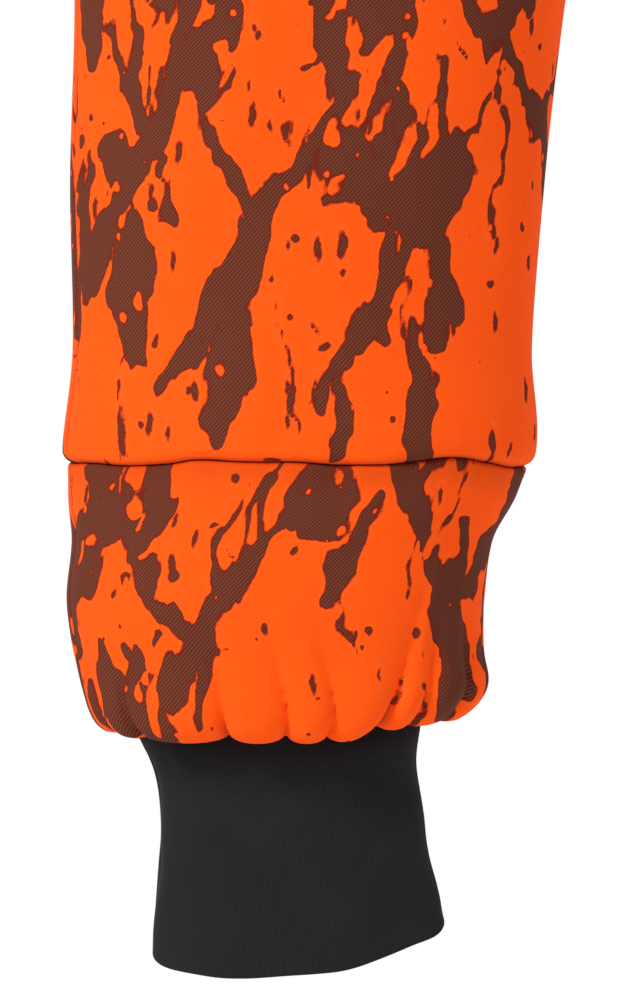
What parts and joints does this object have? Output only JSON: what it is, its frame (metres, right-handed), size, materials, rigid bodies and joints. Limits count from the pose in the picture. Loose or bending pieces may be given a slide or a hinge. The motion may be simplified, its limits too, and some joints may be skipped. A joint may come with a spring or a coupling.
{
  "type": "insulated jacket sleeve",
  "caption": "Insulated jacket sleeve from armhole to wrist: twill shell with a mottled print, wadding, lining, a bloused hem band and a doubled knit cuff.",
  "frame": {"origin": "centre of the armhole opening, in the plane of its cut edges", "axes": "the sleeve hangs along -Z to the cuff, +X points to the underarm and the body, -Y is the front of the arm"},
  "size_m": [0.198, 0.1252, 0.6379],
  "materials": {
    "orange_twill": "brushed polyester twill, fluorescent orange with a dark brown print",
    "orange_thread": "polyester sewing thread",
    "wadding": "bonded polyester wadding",
    "lining": "smooth plain-woven lining",
    "black_thread": "polyester overlock thread",
    "elastic": "braided elastic",
    "knit": "fine charcoal rib knit"
  },
  "bodies": {
    "sleeve": {"sleeve_shell_front": "orange_twill", "sleeve_shell_back": "orange_twill", "band_shell_front": "orange_twill", "band_shell_back": "orange_twill", "shell_outer_seam_thread": "orange_thread", "shell_underarm_seam_thread": "orange_thread", "band_outer_seam_thread": "orange_thread", "band_underarm_seam_thread": "orange_thread", "cross_seam_thread": "orange_thread", "armhole_overlock": "orange_thread", "sleeve_wadding_front": "wadding", "sleeve_wadding_back": "wadding", "band_wadding_front": "wadding", "band_wadding_back": "wadding", "sleeve_lining_front": "lining", "sleeve_lining_back": "lining", "band_lining_front": "lining", "band_lining_back": "lining", "lining_outer_seam_thread": "black_thread", "lining_underarm_seam_thread": "black_thread"},
    "cuff": {"cuff_knit": "knit", "cuff_side_seam": "black_thread", "gathering_elastic": "elastic", "gather_overlock": "black_thread"}
  },
  "joints": [
    {"name": "cuff_push_up", "type": "slide", "parent": "sleeve", "child": "cuff", "axis": [0, 0, 1], "range_m": [0, 0.025], "deforming": ["band_shell_front", "band_shell_back", "band_outer_seam_thread", "band_underarm_seam_thread", "band_wadding_front", "band_wadding_back", "band_lining_front", "band_lining_back"]}
  ]
}
